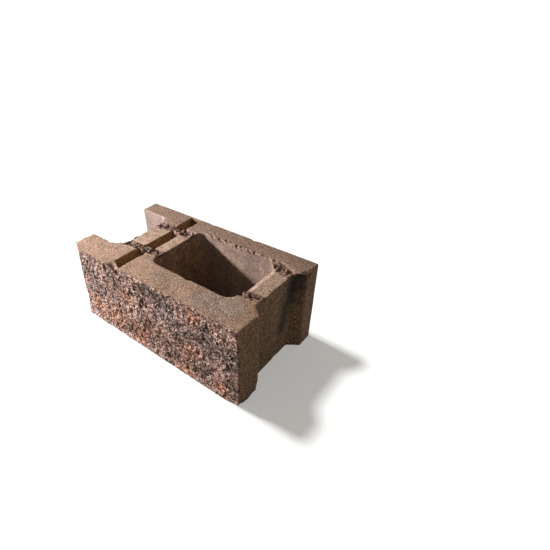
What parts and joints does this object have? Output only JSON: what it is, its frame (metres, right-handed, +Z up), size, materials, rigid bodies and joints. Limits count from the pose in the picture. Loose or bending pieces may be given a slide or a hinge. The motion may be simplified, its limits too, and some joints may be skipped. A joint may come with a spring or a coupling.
{
  "type": "split-face concrete wall block",
  "caption": "Cast concrete wall block with a rough split face, a closed core, an open half core at one end, a splitting groove across the top and a recess across the other end.",
  "frame": {"origin": "middle of the block's box, on the level floor it stands on", "axes": "+X along the length from the end with the half core to the recessed end, -Y out of the split face, +Z up"},
  "size_m": [0.487, 0.267, 0.2],
  "materials": {
    "concrete": "cast concrete, split on the front"
  },
  "bodies": {
    "root": {"concrete_block": "concrete"}
  },
  "joints": []
}
